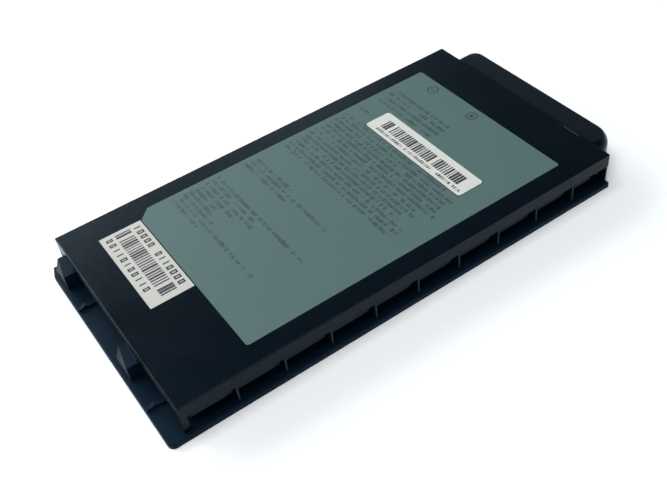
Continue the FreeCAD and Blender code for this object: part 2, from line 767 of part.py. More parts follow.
def main_strips():
    """The negative strip runs on edge along the back wall, and the positive one steps down to the board."""
    foot = f"({TAB_BACK} - link_width)"
    foot_width = f"{RIBBON} + strip_thickness - {foot}"
    start = tab_near(1, "left")
    board_start = f"({BOARD_NEAR} + part_spacing)"
    ribbon_length = f"{board_start} + tab_width - {start}"
    negative = joined("negative_shape", [
        block("negative_foot", start, foot, TAB_TOP, "tab_width", foot_width, "strip_thickness"),
        block("negative_ribbon", start, RIBBON, TAB_TOP, ribbon_length, "strip_thickness", "ribbon_height"),
        block("negative_drop", board_start, RIBBON, BOARD_TOP, "tab_width", "strip_thickness",
              f"{TAB_TOP} - {BOARD_TOP} + strip_thickness"),
        block("negative_pad", board_start, foot, BOARD_TOP, "tab_width", foot_width, "strip_thickness"),
    ])
    finish(negative, "negative_strip")
    last = tab_near(CELL_COUNT, "right")
    step = f"({BOARD_NEAR} + part_spacing / 2)"
    low_foot = f"({foot} - 2 * link_width)"
    positive = joined("positive_shape", [
        block("positive_foot", last, foot, TAB_TOP, f"{step} - {last}", "link_width", "strip_thickness"),
        block("positive_bend", f"{step} - strip_thickness", low_foot, TAB_TOP,
              "strip_thickness", "3 * link_width", "strip_thickness"),
        block("positive_drop", f"{step} - strip_thickness", low_foot, BOARD_TOP,
              "strip_thickness", "link_width", f"{TAB_TOP} - {BOARD_TOP} + strip_thickness"),
        block("positive_pad", f"{step} - strip_thickness", low_foot, BOARD_TOP,
              "tab_width", "link_width", "strip_thickness"),
    ])
    finish(positive, "positive_strip")


# Board and its parts

def protection_board():
    """A board along the far wall, with a tongue that reaches over the sill to the contact block."""
    body = new_body("protection_board_body")
    sketch = new_sketch(body, "board_outline", "XY_Plane", SILL)
    polygon(sketch, [
        (BOARD_NEAR, BOARD_FRONT),
        (BOARD_FAR, BOARD_FRONT),
        (BOARD_FAR, HOUSING_FRONT),
        (HOUSING_NEAR, HOUSING_FRONT),
        (HOUSING_NEAR, HOUSING_BACK),
        (BOARD_FAR, HOUSING_BACK),
        (BOARD_FAR, BOARD_BACK),
        (BOARD_NEAR, BOARD_BACK),
    ])
    pad(body, sketch, "board_thickness", "board_plate")
    finish(body, "protection_board")
    add_board_parts()


def add_board_parts():
    insulator = block("insulator_sheet", SHEET_NEAR, f"{CAVITY_FRONT} + cell_clearance", "flange_thickness",
                      "insulator_thickness", CELL_WIDTH, f"{CEILING} - flange_thickness")
    finish(insulator, "board_insulator")
    front = f"({BOARD_FRONT} + part_spacing + 2 * rest_thickness)"
    add_thermistor(front)
    row = f"({BOARD_NEAR} + part_spacing)"
    front = f"({front} + bead_length + part_spacing)"
    chips = (
        ("gauge_chip", "gauge_size", "gauge_size", "gauge_height"),
        ("charge_switch", "switch_size", "switch_size", "switch_height"),
        ("discharge_switch", "switch_size", "switch_size", "switch_height"),
        ("board_fuse", "fuse_width", "fuse_length", "fuse_height"),
        ("sense_resistor", "resistor_width", "resistor_length", "resistor_height"),
    )
    for name, length, width, height in chips:
        finish(block(name + "_block", row, front, BOARD_TOP, length, width, height), name)
        front = f"({front} + {width} + part_spacing)"
        if name == "gauge_chip":
            add_capacitors(front)


def add_capacitors(front):
    """A row of small capacitors along the board's far edge, beside the switches and the fuse."""
    near = f"{BOARD_FAR} - part_spacing / 2 - capacitor_length"
    capacitors = [
        block(f"capacitor_{number + 1}", near, f"{front} + {number} * capacitor_spacing", BOARD_TOP,
              "capacitor_length", "capacitor_width", "capacitor_height")
        for number in range(int(value("capacitor_count")))
    ]
    finish(together("capacitor_row", capacitors), "board_capacitors")


def add_thermistor(front):
    """A bead against the insulator beside the last cell, on two leads from the board."""
    bead = doc.addObject("Part::Cylinder", "thermistor_bead")
    bind(bead, "Radius", "bead_radius")
    bind(bead, "Height", "bead_length")
    centre_x = f"({SHEET_NEAR} + insulator_thickness + bead_radius)"
    centre_z = f"({BOARD_TOP} + bead_radius)"
    bead.Placement.Rotation = FreeCAD.Rotation(FreeCAD.Vector(1, 0, 0), -90)
    place(bead, centre_x, front, centre_z)
    reach = f"{BOARD_NEAR} + part_spacing - {centre_x}"
    leads = []
    for number, share in ((1, "1/4"), (2, "3/4")):
        side = f"{front} + bead_length * {share} - lead_width / 2"
        name = f"thermistor_lead_{number}"
        leads.append(block(name, centre_x, side, BOARD_TOP, reach, "lead_width", "lead_width"))
    finish(joined("thermistor_shape", [bead] + leads), "thermistor")


# Contact block

def connector():
    """A slotted housing in the nose, with one leaf contact in each slot."""
    body = new_body("connector_housing_body")
    sketch = new_sketch(body, "housing_outline", "XY_Plane", SILL)
    rectangle(sketch, HOUSING_NEAR, HOUSING_FRONT, HOUSING_FAR, HOUSING_BACK)
    pad(body, sketch, f"{HOUSING_TOP} - {SILL}", "housing_block")
    collar = new_sketch(body, "collar_outline", "YZ_Plane", f"{HOUSING_FAR} - {MARGIN}")
    gap = "(window_sill + window_clearance)"
    rectangle(collar, f"{HOUSING_FRONT} + {gap}", f"{WINDOW_BOTTOM} + window_clearance",
              f"{HOUSING_BACK} - {gap}", f"{WINDOW_TOP} - window_clearance")
    pad(body, collar, f"nose_wall - face_setback + {MARGIN}", "housing_collar")
    slot = new_sketch(body, "contact_slot_outline", "YZ_Plane", f"{HOUSING_NEAR} - {MARGIN}")
    rectangle(slot, f"{FIRST_CONTACT} - slot_opening / 2", f"{WINDOW_BOTTOM} + slot_bridge",
              f"{FIRST_CONTACT} + slot_opening / 2", f"{WINDOW_TOP} - slot_bridge")
    cut = pocket(body, slot, f"housing_depth + nose_wall + 2 * {MARGIN}", "contact_slot", reverse=True)
    repeat(body, [cut], "Y_Axis", "contact_pitch * (contact_count - 1)", "contact_count", "contact_slots")
    finish(body, "connector_housing")
    contacts = [contact_leaf(number) for number in range(int(value("contact_count")))]
    finish(together("contact_row", contacts), "connector_contacts")


def contact_leaf(number):
    """A leaf that stands in its slot and steps down to the board behind the housing."""
    name = f"contact_{number + 1}"
    side = f"({FIRST_CONTACT} + {number} * contact_pitch - contact_thickness / 2)"
    low = f"({WINDOW_BOTTOM} + slot_bridge)"
    tall = f"{WINDOW_TOP} - slot_bridge - {low}"
    back = f"({HOUSING_NEAR} - solder_length)"
    far = f"({HOUSING_FAR} + nose_wall - face_setback - contact_setback)"
    return joined(name, [
        block(name + "_leaf", HOUSING_NEAR, side, low, f"{far} - {HOUSING_NEAR}", "contact_thickness", tall),
        block(name + "_leg", back, side, BOARD_TOP, "solder_length", "contact_thickness",
              f"{WINDOW_TOP} - slot_bridge - {BOARD_TOP}"),
    ])


def check_document():
    """Stop if any feature failed or any sub-part is empty or broken."""
    doc.recompute()
    for item in doc.Objects:
        if "Invalid" in item.State or "Error" in item.State:
            raise RuntimeError(f"{item.Label} failed: {item.State}")
    for item in sub_parts:
        if item.Shape.isNull() or not item.Shape.isValid():
            raise RuntimeError(f"{item.Label} has no valid shape")


bottom_case()
top_cover()
stickers()
for cell_number in range(1, CELL_COUNT + 1):
    pouch_cell(cell_number)
series_links()
main_strips()
protection_board()
connector()
check_document()
os.makedirs("parts", exist_ok=True)
for sub_part in sub_parts:
    sub_part.Shape.exportStep(f"parts/{sub_part.Label}.step")
    box = sub_part.Shape.BoundBox
    print(f"{sub_part.Label}: {len(sub_part.Shape.Solids)} solid(s), {sub_part.Shape.Volume:.1f} mm3, "
          f"{box.XLength:.2f} x {box.YLength:.2f} x {box.ZLength:.2f} mm")
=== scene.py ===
# %% [markdown]
# # A laptop battery pack
#
# This lesson dresses a flat laptop battery: a black moulded case, a teal-grey label and two white stickers.
# The solids of the pack are already there, at their real size in metres, as a fixed frame. What is left for
# Blender is the finish of each surface, the print on the label and stickers, the light and the camera.
# Places on the pack are measured from the boxes of those solids, so the print stays on its label.

import json
import math
import random

import bmesh
import bpy
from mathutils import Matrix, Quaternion, Vector


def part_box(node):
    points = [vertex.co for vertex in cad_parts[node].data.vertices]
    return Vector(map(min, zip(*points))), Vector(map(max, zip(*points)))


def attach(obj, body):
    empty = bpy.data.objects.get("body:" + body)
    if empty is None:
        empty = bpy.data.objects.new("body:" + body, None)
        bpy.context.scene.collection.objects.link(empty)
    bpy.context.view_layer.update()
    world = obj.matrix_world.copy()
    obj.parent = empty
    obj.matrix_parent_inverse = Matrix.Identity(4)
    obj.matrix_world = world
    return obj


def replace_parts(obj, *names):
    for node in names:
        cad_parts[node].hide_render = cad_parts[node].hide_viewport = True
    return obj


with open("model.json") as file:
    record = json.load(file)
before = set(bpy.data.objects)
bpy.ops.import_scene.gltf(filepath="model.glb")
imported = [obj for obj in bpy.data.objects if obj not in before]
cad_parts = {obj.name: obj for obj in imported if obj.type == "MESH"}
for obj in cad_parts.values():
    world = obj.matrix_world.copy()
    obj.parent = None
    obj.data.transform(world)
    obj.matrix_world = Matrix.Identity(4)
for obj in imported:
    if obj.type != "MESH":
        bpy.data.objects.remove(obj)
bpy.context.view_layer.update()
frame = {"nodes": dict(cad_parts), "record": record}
nodes = frame["nodes"]
MM = 0.001

# %% [markdown]
# ## The camera
#
# The picture was taken from the front left, looking down at about 45 degrees with the camera turned a
# little. A camera can be aimed by three angles, but those are hard to read. Here it has a place, a point
# that it looks at on top of the pack, and a roll about that line, which is how a photographer would set it
# up.

# %% Set the camera
CAMERA_EYE = Vector((-114.3, -194.8, 210.4)) * MM
CAMERA_TARGET = Vector((-16.5, -19.7, 12.8)) * MM
CAMERA_ROLL = math.radians(-7.81)
CAMERA_LENS_MM = 49.58

camera_data = bpy.data.cameras.new("photo_camera")
camera_data.lens = CAMERA_LENS_MM
camera_data.clip_start = 1 * MM
camera = bpy.data.objects.new("photo_camera", camera_data)
camera.location = CAMERA_EYE
camera.rotation_mode = "QUATERNION"
aim = (CAMERA_TARGET - CAMERA_EYE).to_track_quat("-Z", "Y")
camera.rotation_quaternion = aim @ Quaternion((0, 0, 1), CAMERA_ROLL)
bpy.context.collection.objects.link(camera)
bpy.context.scene.camera = camera

print("camera", round((CAMERA_TARGET - CAMERA_EYE).length / MM), "mm from the top of the pack")

# %% [markdown]
# ## Shader maths in plain Python
#
# A finish is a small graph of nodes, and long graphs are hard to read as node calls. The class below wraps
# one output of a graph. A sum, difference or product of two of them adds the Math node that works it out, so
# a graph reads as a formula. Every other node comes from the one method node(), in materials and in Geometry
# Nodes alike.

# %% Wrap sockets in a class
class Field:
    """A value, colour or geometry that comes out of a node, with operators for maths on values."""

    def __init__(self, tree, socket=None):
        self.tree = tree
        self.socket = socket

    def node(self, kind, settings=None, inputs=None, output=0):
        """Add a node, give it its settings, then fill its sockets, and wrap one of its outputs."""
        made = self.tree.nodes.new(kind)
        for name, setting in (settings or {}).items():
            if name == "stops":
                self.set_stops(made.color_ramp, setting)
            else:
                setattr(made, name, setting)
        for name, source in (inputs or {}).items():
            self.fill(made.inputs[name], source)
        return Field(self.tree, made.outputs[output])

    def fill(self, socket, source):
        """Link a field or a list of fields to a socket, or set a plain value on it."""
        if isinstance(source, Field):
            self.tree.links.new(source.socket, socket)
        elif isinstance(source, list):
            for field in source:
                self.tree.links.new(field.socket, socket)
        else:
            socket.default_value = source

    @staticmethod
    def set_stops(ramp, stops):
        """Place a colour ramp's stops, each a position and a colour, in rising order."""
        while len(ramp.elements) < len(stops):
            ramp.elements.new(1.0)
        for element, (position, colour) in zip(ramp.elements, stops):
            element.position = position
            element.color = colour

    def math(self, operation, first, second):
        return self.node("ShaderNodeMath", {"operation": operation}, {0: first, 1: second})

    def __add__(self, other):
        return self.math("ADD", self, other)

    def __sub__(self, other):
        return self.math("SUBTRACT", self, other)

    def __rsub__(self, other):
        return self.math("SUBTRACT", other, self)

    def __mul__(self, other):
        return self.math("MULTIPLY", self, other)

    __radd__ = __add__
    __rmul__ = __mul__


print("operators:", ", ".join(name for name in vars(Field) if name.startswith("__r")))

# %% [markdown]
# ## Shared steps of a finish
#
# Each finish starts from a Principled shader and the surface's own coordinates in metres. Grain is a fine
# noise that goes into a Bump node, and a broader noise changes roughness a little, because no moulding is
# even. A Bevel node rounds the light on sharp edges: real plastic has no edge without a small radius. The
# Mix node has its sockets once for each kind of data, all under the same names, so those for colours go by
# number.

# %% Write the shared steps
MIX_FACTOR, MIX_FIRST, MIX_SECOND = 0, 6, 7
MIX_COLOUR = 2
BEVEL_SAMPLES = 6


def new_finish(name):
    """A material, its Principled shader and the field of the surface's own coordinates."""
    material = bpy.data.materials.new(name)
    material.use_nodes = True
    tree = material.node_tree
    place = Field(tree).node("ShaderNodeTexCoord", output="Object")
    return material, tree.nodes["Principled BSDF"], place


def stretched(place, scale):
    """The surface's coordinates with a scale for each axis, to draw a pattern out along one of them."""
    return place.node("ShaderNodeMapping", None, {"Vector": place, "Scale": scale})


def noise(place, size, detail=2.0):
    """A noise whose patches are about one size across, in metres, from 0 to 1."""
    return place.node("ShaderNodeTexNoise", None, {"Vector": place, "Scale": 1 / size, "Detail": detail})


def blend(factor, first, second):
    """One colour fading into another."""
    sockets = {MIX_FACTOR: factor, MIX_FIRST: first, MIX_SECOND: second}
    return factor.node("ShaderNodeMix", {"data_type": "RGBA"}, sockets, output=MIX_COLOUR)


def grain(height, depth, edge_radius=0.0):
    """A normal that follows a height field, with sharp edges rounded if a radius is given."""
    inputs = {"Height": height, "Distance": depth, "Strength": 1.0}
    if edge_radius:
        rounded = height.node("ShaderNodeBevel", {"samples": BEVEL_SAMPLES}, {"Radius": edge_radius})
        inputs["Normal"] = rounded
    return height.node("ShaderNodeBump", None, inputs)


def dress(shader, **sockets):
    """Fill the shader's sockets, whose names are given with underscores for spaces."""
    tree = Field(shader.id_data)
    for name, source in sockets.items():
        tree.fill(shader.inputs[name.replace("_", " ")], source)


def rgb(red, green, blue):
    return (red, green, blue, 1.0)


print("grain, noise and edges are ready")

# %% [markdown]
# ## The black plastic
#
# Case and cover are moulded from one black, slightly blue plastic. The mould was spark eroded, which leaves
# a fine even grain that spreads reflections out. The cover's nose also has faint streaks along its length.
# The case's tray wall, which stands back under the cover's skirt, and the edges of its ribs get painted
# light: a pale tone, strongest at the foot of the wall, that stands in for light in the skirt's shade. The
# crest of the short ridge by the nose gets the same tone as a painted highlight. These could be pieces of
# their own, but they belong to the mouldings, so a mask finds them by their depth and height. One function
# then makes both plastics, with the grain, the gloss and the mask of each piece as its arguments.

# %% Find the places that are paler
# Painted light: a pale tone on the shaded tray walls, strongest at their foot, and on the rib edges.
WALL_INSET = 3.75 * MM
WALL_FOOT = 2.0 * MM
PAINTED_LIGHT_TOP = 6.5 * MM
RIB_SETBACK = 0.15 * MM
DEPTH_MARGIN = 0.05 * MM
RIDGE_CREST = 0.05 * MM
PAINTED_LIGHT_AT_FOOT = 1.1
PAINTED_LIGHT_ON_RIBS = 0.4
# How strong the painted highlight on the ridge crest is.
RIDGE_HIGHLIGHT = 0.8


def at_inset(place, inset):
    """1 on the upright faces that stand this far in from the cover's front and back, and 0 elsewhere."""
    low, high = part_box("top_cover")
    depth = place.node("ShaderNodeSeparateXYZ", None, {"Vector": place}, output="Y")
    front, back = (
        place.node("ShaderNodeMath", {"operation": "COMPARE"}, {0: depth, 1: level, 2: DEPTH_MARGIN})
        for level in (low.y + inset, high.y - inset)
    )
    return front + back


def painted_light_on_walls(place):
    """How much painted light the tray walls in the skirt's shade and the edges of their ribs get: 0 is none,
    and 1 or more is the full pale tone.
    """
    height = place.node("ShaderNodeSeparateXYZ", None, {"Vector": place}, output="Z")
    above_flange = height.math("GREATER_THAN", height, WALL_FOOT)
    low_down = height.node("ShaderNodeMapRange", None, {
        "Value": height, "From Min": PAINTED_LIGHT_TOP, "From Max": WALL_FOOT, "To Max": PAINTED_LIGHT_AT_FOOT,
    })
    on_walls = low_down * at_inset(place, WALL_INSET)
    return above_flange * (on_walls + PAINTED_LIGHT_ON_RIBS * at_inset(place, RIB_SETBACK))


def painted_highlight_on_ridge(place):
    """The painted highlight on the crest of the short ridge by the nose, the only place above the flat of
    the cover.
    """
    height = place.node("ShaderNodeSeparateXYZ", None, {"Vector": place}, output="Z")
    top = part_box("top_cover")[1].z
    return RIDGE_HIGHLIGHT * height.math("GREATER_THAN", height, top - RIDGE_CREST)


# The tray walls get painted light from their foot up to this height.
print("tray walls", round(WALL_INSET / MM, 2), "mm back, painted_pale up to", round(PAINTED_LIGHT_TOP / MM, 1), "mm")

# %% Make the moulded plastic
GRAIN_SIZE = 0.35 * MM
MOTTLE_SIZE = 18 * MM
STREAK_WIDTH = 0.9 * MM
ALONG_NOSE = (1, 0.06, 1)
EDGE_RADIUS = 0.15 * MM
# The pale tone of the painted light on the shaded tray walls and of the painted highlight on the ridge
# crest.
PAINTED_LIGHT_TONE = rgb(0.041, 0.059, 0.073)


def moulded_plastic(name, dark, pale, roughness, grain_depth, gloss, tint, paler):
    """A moulding's finish, where the function paler gives how much painted light each place on it gets."""
    material, shader, place = new_finish(name)
    mottle = noise(place, MOTTLE_SIZE)
    pores = noise(place, GRAIN_SIZE, detail=3.0)
    streaks = noise(stretched(place, ALONG_NOSE), STREAK_WIDTH)
    dress(
        shader,
        # The pale tone blended in here is painted light.
        Base_Color=blend(paler(place), blend(mottle, dark, pale), PAINTED_LIGHT_TONE),
        Roughness=roughness + 0.10 * (mottle - 0.5) + 0.06 * (pores - 0.5) + 0.05 * (streaks - 0.5),
        Normal=grain(pores + 0.3 * streaks, grain_depth, EDGE_RADIUS),
        Specular_IOR_Level=gloss,
        Specular_Tint=tint,
    )
    return material


# The case gets painted light on its shaded tray walls, and the cover a painted highlight on its ridge crest.
finishes = {
    "case_plastic": moulded_plastic(
        "case_plastic", rgb(0.0012, 0.0064, 0.0146), rgb(0.0018, 0.0078, 0.0172),
        roughness=0.48, grain_depth=0.006 * MM, gloss=0.09, tint=rgb(0.55, 0.82, 1.0), paler=painted_light_on_walls,
    ),
    "cover_plastic": moulded_plastic(
        "cover_plastic", rgb(0.0007, 0.0026, 0.0050), rgb(0.0010, 0.0033, 0.0061),
        roughness=0.27, grain_depth=0.008 * MM, gloss=0.135, tint=rgb(0.46, 0.78, 1.0), paler=painted_highlight_on_ridge,
    ),
}
print("plastics:", ", ".join(finishes))

# %% [markdown]
# ## Label film and sticker paper
#
# The label is a matt printed film: an even teal grey with a very fine tooth. The stickers are coated paper,
# a little warm, with fibres that show only close up, and the one beside the label is duller than the one on
# it. None is a flat colour on the real pack, so each has a soft cloud of slightly different shade. The
# film's roughness follows its cloud, and the paper's follows its fibres.

# %% Make the label film and the sticker papers
FILM_CLOUD = 30 * MM
FILM_TOOTH = 0.25 * MM
TOOTH_DEPTH = 0.003 * MM
FILM_EDGE = 0.1 * MM
PAPER_CLOUD = 9 * MM
FIBRE_WIDTH = 0.3 * MM
ALONG_FIBRES = (1, 0.3, 1)
FIBRE_DEPTH = 0.004 * MM
PAPER_EDGE = 0.05 * MM


def printed_film(name, dark, pale):
    material, shader, place = new_finish(name)
    cloud = noise(place, FILM_CLOUD)
    tooth = noise(place, FILM_TOOTH)
    dress(
        shader,
        Base_Color=blend(0.7 * cloud + 0.3 * tooth, dark, pale),
        Roughness=0.52 + 0.08 * (cloud - 0.5) + 0.06 * (tooth - 0.5),
        Normal=grain(tooth, TOOTH_DEPTH, FILM_EDGE),
        Specular_IOR_Level=0.3,
    )
    return material


def coated_paper(name, dark, pale):
    material, shader, place = new_finish(name)
    cloud = noise(place, PAPER_CLOUD)
    fibres = noise(stretched(place, ALONG_FIBRES), FIBRE_WIDTH, detail=4.0)
    dress(
        shader,
        Base_Color=blend(0.6 * fibres + 0.4 * cloud, dark, pale),
        Roughness=0.45 + 0.12 * (fibres - 0.5),
        Normal=grain(fibres, FIBRE_DEPTH, PAPER_EDGE),
        Specular_IOR_Level=0.2,
    )
    return material


finishes["label_film"] = printed_film("label_film", rgb(0.058, 0.107, 0.099), rgb(0.065, 0.115, 0.106))
finishes["sticker_paper"] = coated_paper("sticker_paper", rgb(0.515, 0.505, 0.46), rgb(0.56, 0.55, 0.505))
plain_paper = coated_paper("plain_paper", rgb(0.45, 0.43, 0.39), rgb(0.485, 0.465, 0.425))
print("films and papers: label_film, sticker_paper, plain_paper")

# %% [markdown]
# ## What is inside
#
# The case is welded shut, so the cells and the board don't show, but someone may open the model. Each inner
# material has the mark of how it is made: creased foil on the pouches, brushed metal on the tabs, the weave
# of the glass cloth in the board, pores in the foam.

# %% Make the inner metals
CREASE_SIZE = 7 * MM
CREASE_DEPTH = 0.15 * MM
POUCH_EDGE = 0.3 * MM
BRUSH_WIDTH = 0.2 * MM
ALONG_BRUSH = (1, 0.05, 1)
BRUSH_DEPTH = 0.004 * MM
STRIP_EDGE = 0.04 * MM


def creased_foil(name):
    material, shader, place = new_finish(name)
    creases = noise(place, CREASE_SIZE, detail=5.0)
    dress(
        shader,
        Base_Color=blend(creases, rgb(0.46, 0.47, 0.49), rgb(0.62, 0.63, 0.65)),
        Roughness=0.28 + 0.18 * creases,
        Metallic=0.9,
        Normal=grain(creases, CREASE_DEPTH, POUCH_EDGE),
    )
    return material


def brushed_metal(name, dark, pale):
    material, shader, place = new_finish(name)
    lines = noise(stretched(place, ALONG_BRUSH), BRUSH_WIDTH, detail=3.0)
    dress(
        shader,
        Base_Color=blend(lines, dark, pale),
        Roughness=0.22 + 0.2 * lines,
        Metallic=1.0,
        Normal=grain(lines, BRUSH_DEPTH, STRIP_EDGE),
    )
    return material


finishes["pouch_foil"] = creased_foil("pouch_foil")
finishes["tab_metal"] = brushed_metal("tab_metal", rgb(0.55, 0.54, 0.50), rgb(0.72, 0.71, 0.67))
finishes["contact_metal"] = brushed_metal("contact_metal", rgb(0.72, 0.50, 0.18), rgb(0.86, 0.62, 0.26))
print("metals: pouch_foil, tab_metal, contact_metal")

# %% Make the board, its parts and the soft layers
WEAVE = {"Scale": 900, "Distortion": 1.5}
WEAVE_DEPTH = 0.01 * MM
RESIN_CLOUD = 6 * MM
SMALL_EDGE = 0.05 * MM


def woven_laminate(name):
    material, shader, place = new_finish(name)
    weave = place.node("ShaderNodeTexWave", None, {"Vector": place, **WEAVE})
    cloud = noise(place, RESIN_CLOUD)
    dress(
        shader,
        Base_Color=blend(0.6 * weave + 0.4 * cloud, rgb(0.008, 0.050, 0.022), rgb(0.016, 0.085, 0.040)),
        Roughness=0.30 + 0.12 * cloud,
        Normal=grain(weave, WEAVE_DEPTH, SMALL_EDGE),
    )
    return material


def speckled(name, dark, pale, size, roughness, depth):
    """A plain material with specks or pores of one size, such as chip epoxy, ceramic, tape or foam."""
    material, shader, place = new_finish(name)
    specks = noise(place, size, detail=3.0)
    dress(
        shader,
        Base_Color=blend(specks, dark, pale),
        Roughness=roughness + 0.15 * (specks - 0.5),
        Normal=grain(specks, depth, SMALL_EDGE),
    )
    return material


finishes["board_laminate"] = woven_laminate("board_laminate")
for name, dark, pale, size, roughness, depth in (
    ("chip_epoxy", rgb(0.010, 0.010, 0.011), rgb(0.022, 0.022, 0.024), 0.2 * MM, 0.55, 0.010 * MM),
    ("ceramic_body", rgb(0.30, 0.22, 0.15), rgb(0.40, 0.31, 0.22), 0.3 * MM, 0.35, 0.006 * MM),
    ("bead_epoxy", rgb(0.014, 0.013, 0.012), rgb(0.030, 0.028, 0.026), 0.6 * MM, 0.25, 0.020 * MM),
    ("insulating_sheet", rgb(0.40, 0.36, 0.26), rgb(0.48, 0.44, 0.34), 0.8 * MM, 0.60, 0.008 * MM),
    ("adhesive_tape", rgb(0.55, 0.55, 0.50), rgb(0.66, 0.66, 0.62), 1.5 * MM, 0.50, 0.010 * MM),
    ("foam", rgb(0.030, 0.030, 0.032), rgb(0.060, 0.060, 0.064), 0.5 * MM, 0.90, 0.120 * MM),
    ("contact_housing", rgb(0.006, 0.007, 0.008), rgb(0.012, 0.013, 0.014), 0.3 * MM, 0.45, 0.008 * MM),
):
    finishes[name] = speckled(name, dark, pale, size, roughness, depth)
print(len(finishes), "finishes in all")

# %% [markdown]
# ## Give each solid its finish
#
# The record of the part names a material slot for each solid, and the finishes above have the slots' names.
# The sticker beside the label shares its slot with the other one, and gets the duller paper by name. The
# solids come in as loose triangles with flat faces. For the two mouldings that would show as facets on the
# round corners of the nose, so each gets a copy whose corners are merged and whose gentle edges are shaded
# smooth.

# %% Find the slot of each solid
slot_of = {row["node"]: row["material_slot"] for row in frame["record"]["subparts"]}
for name, solid in nodes.items():
    solid.data.materials.clear()
    solid.data.materials.append(finishes[slot_of[name]])
nodes["part_sticker"].data.materials[0] = plain_paper
print({slot: list(slot_of.values()).count(slot) for slot in finishes})

# %% Copy the mouldings with smooth rounds
MERGE_DISTANCE = 0.001 * MM
SHARP_ANGLE = math.radians(32)
FLAT_FACE_WEIGHT = 100


def as_plain_mesh(piece):
    """Bake a piece's modifiers into its mesh, and remove them."""
    seen = piece.evaluated_get(bpy.context.evaluated_depsgraph_get())
    mesh = bpy.data.meshes.new_from_object(seen)
    piece.modifiers.clear()
    piece.data = mesh
    return piece


def add_piece(name, mesh):
    """A finished piece of the pack, which rides on its only body."""
    piece = bpy.data.objects.new(name, mesh)
    bpy.context.collection.objects.link(piece)
    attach(piece, "root")
    return piece


def smooth_copy(node, name):
    """The same shape with merged corners, flat faces kept flat and rounds shaded smooth."""
    shape = bmesh.new()
    shape.from_mesh(nodes[node].data)
    bmesh.ops.remove_doubles(shape, verts=shape.verts, dist=MERGE_DISTANCE)
    mesh = bpy.data.meshes.new(name)
    shape.to_mesh(mesh)
    shape.free()
    if "custom_normal" in mesh.attributes:
        mesh.attributes.remove(mesh.attributes["custom_normal"])
    mesh.materials.append(finishes[slot_of[node]])
    mesh.shade_smooth()
    mesh.set_sharp_from_angle(angle=SHARP_ANGLE)
    piece = add_piece(name, mesh)
    even = piece.modifiers.new("flat_faces_first", "WEIGHTED_NORMAL")
    even.keep_sharp = True
    even.weight = FLAT_FACE_WEIGHT
    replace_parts(as_plain_mesh(piece), node)
    return piece


for node, name in (("bottom_case", "case_shell"), ("top_cover", "cover_shell")):
    shell = smooth_copy(node, name)
    print(name, len(shell.data.vertices), "corners,", len(shell.data.polygons), "faces")

# %% [markdown]
# ## Print without words
#
# The print on this pack says nothing: a line of it is a row of small upright marks with some gaps, and a
# bar code is the same row with tall bars of uneven width. A mark is a solid bar, an open frame or a narrow
# stroke. Each could be modelled and placed by hand, but a row only repeats them along a line, which is a
# job for Geometry Nodes: the tree below walks along each line, drops some marks, picks a kind for each of
# the others and gives it a random size. Random Value, like Mix, has its sockets once for each kind of data.

# %% Make the three kinds of mark
STROKE_ACROSS = 0.38
STROKE_UP = 0.20


def bar(start, x, y, wide, tall):
    """A block one unit thick that stands on the surface, with its middle at x and y."""
    box = start.node("GeometryNodeMeshCube", None, {"Size": (wide, tall, 1)})
    return start.node("GeometryNodeTransform", None, {"Geometry": box, "Translation": (x, y, 0.5)})


def kinds_of_mark(start):
    """A narrow stroke, an open frame and a solid bar, each one unit tall, as instances to pick from."""
    solid = bar(start, 0, 0.5, 1, 1)
    side = 0.5 - STROKE_ACROSS / 2
    rim = 0.5 - STROKE_UP / 2
    open_mark = start.node("GeometryNodeJoinGeometry", None, {"Geometry": [
        bar(start, -side, 0.5, STROKE_ACROSS, 1),
        bar(start, side, 0.5, STROKE_ACROSS, 1),
        bar(start, 0, 0.5 - rim, 1, STROKE_UP),
        bar(start, 0, 0.5 + rim, 1, STROKE_UP),
    ]})
    narrow = bar(start, 0, 0.5, STROKE_ACROSS, 1)
    return start.node("GeometryNodeGeometryToInstance", None, {"Geometry": [narrow, open_mark, solid]})


print("strokes take", STROKE_ACROSS, "of a mark's width and", STROKE_UP, "of its height")

# %% Build the tree that prints a row of marks
ROW_SIZES = {
    "Pitch": 1.05 * MM,
    "Height": 1.4 * MM,
    "Lowest": 0.7,
    "Narrowest": 0.5,
    "Widest": 0.8,
    "Gap share": 0.13,
    "Open share": 0.7,
    "Narrow share": 0.4,
    "Thickness": 0.012 * MM,
}
RANDOM_LOW, RANDOM_HIGH, RANDOM_CHANCE, RANDOM_SEED = 2, 3, 6, 8
RANDOM_NUMBER, RANDOM_CHOICE = 1, 3
KEPT_DRAW, WIDTH_DRAW, HEIGHT_DRAW, OPEN_DRAW, NARROW_DRAW = range(5)


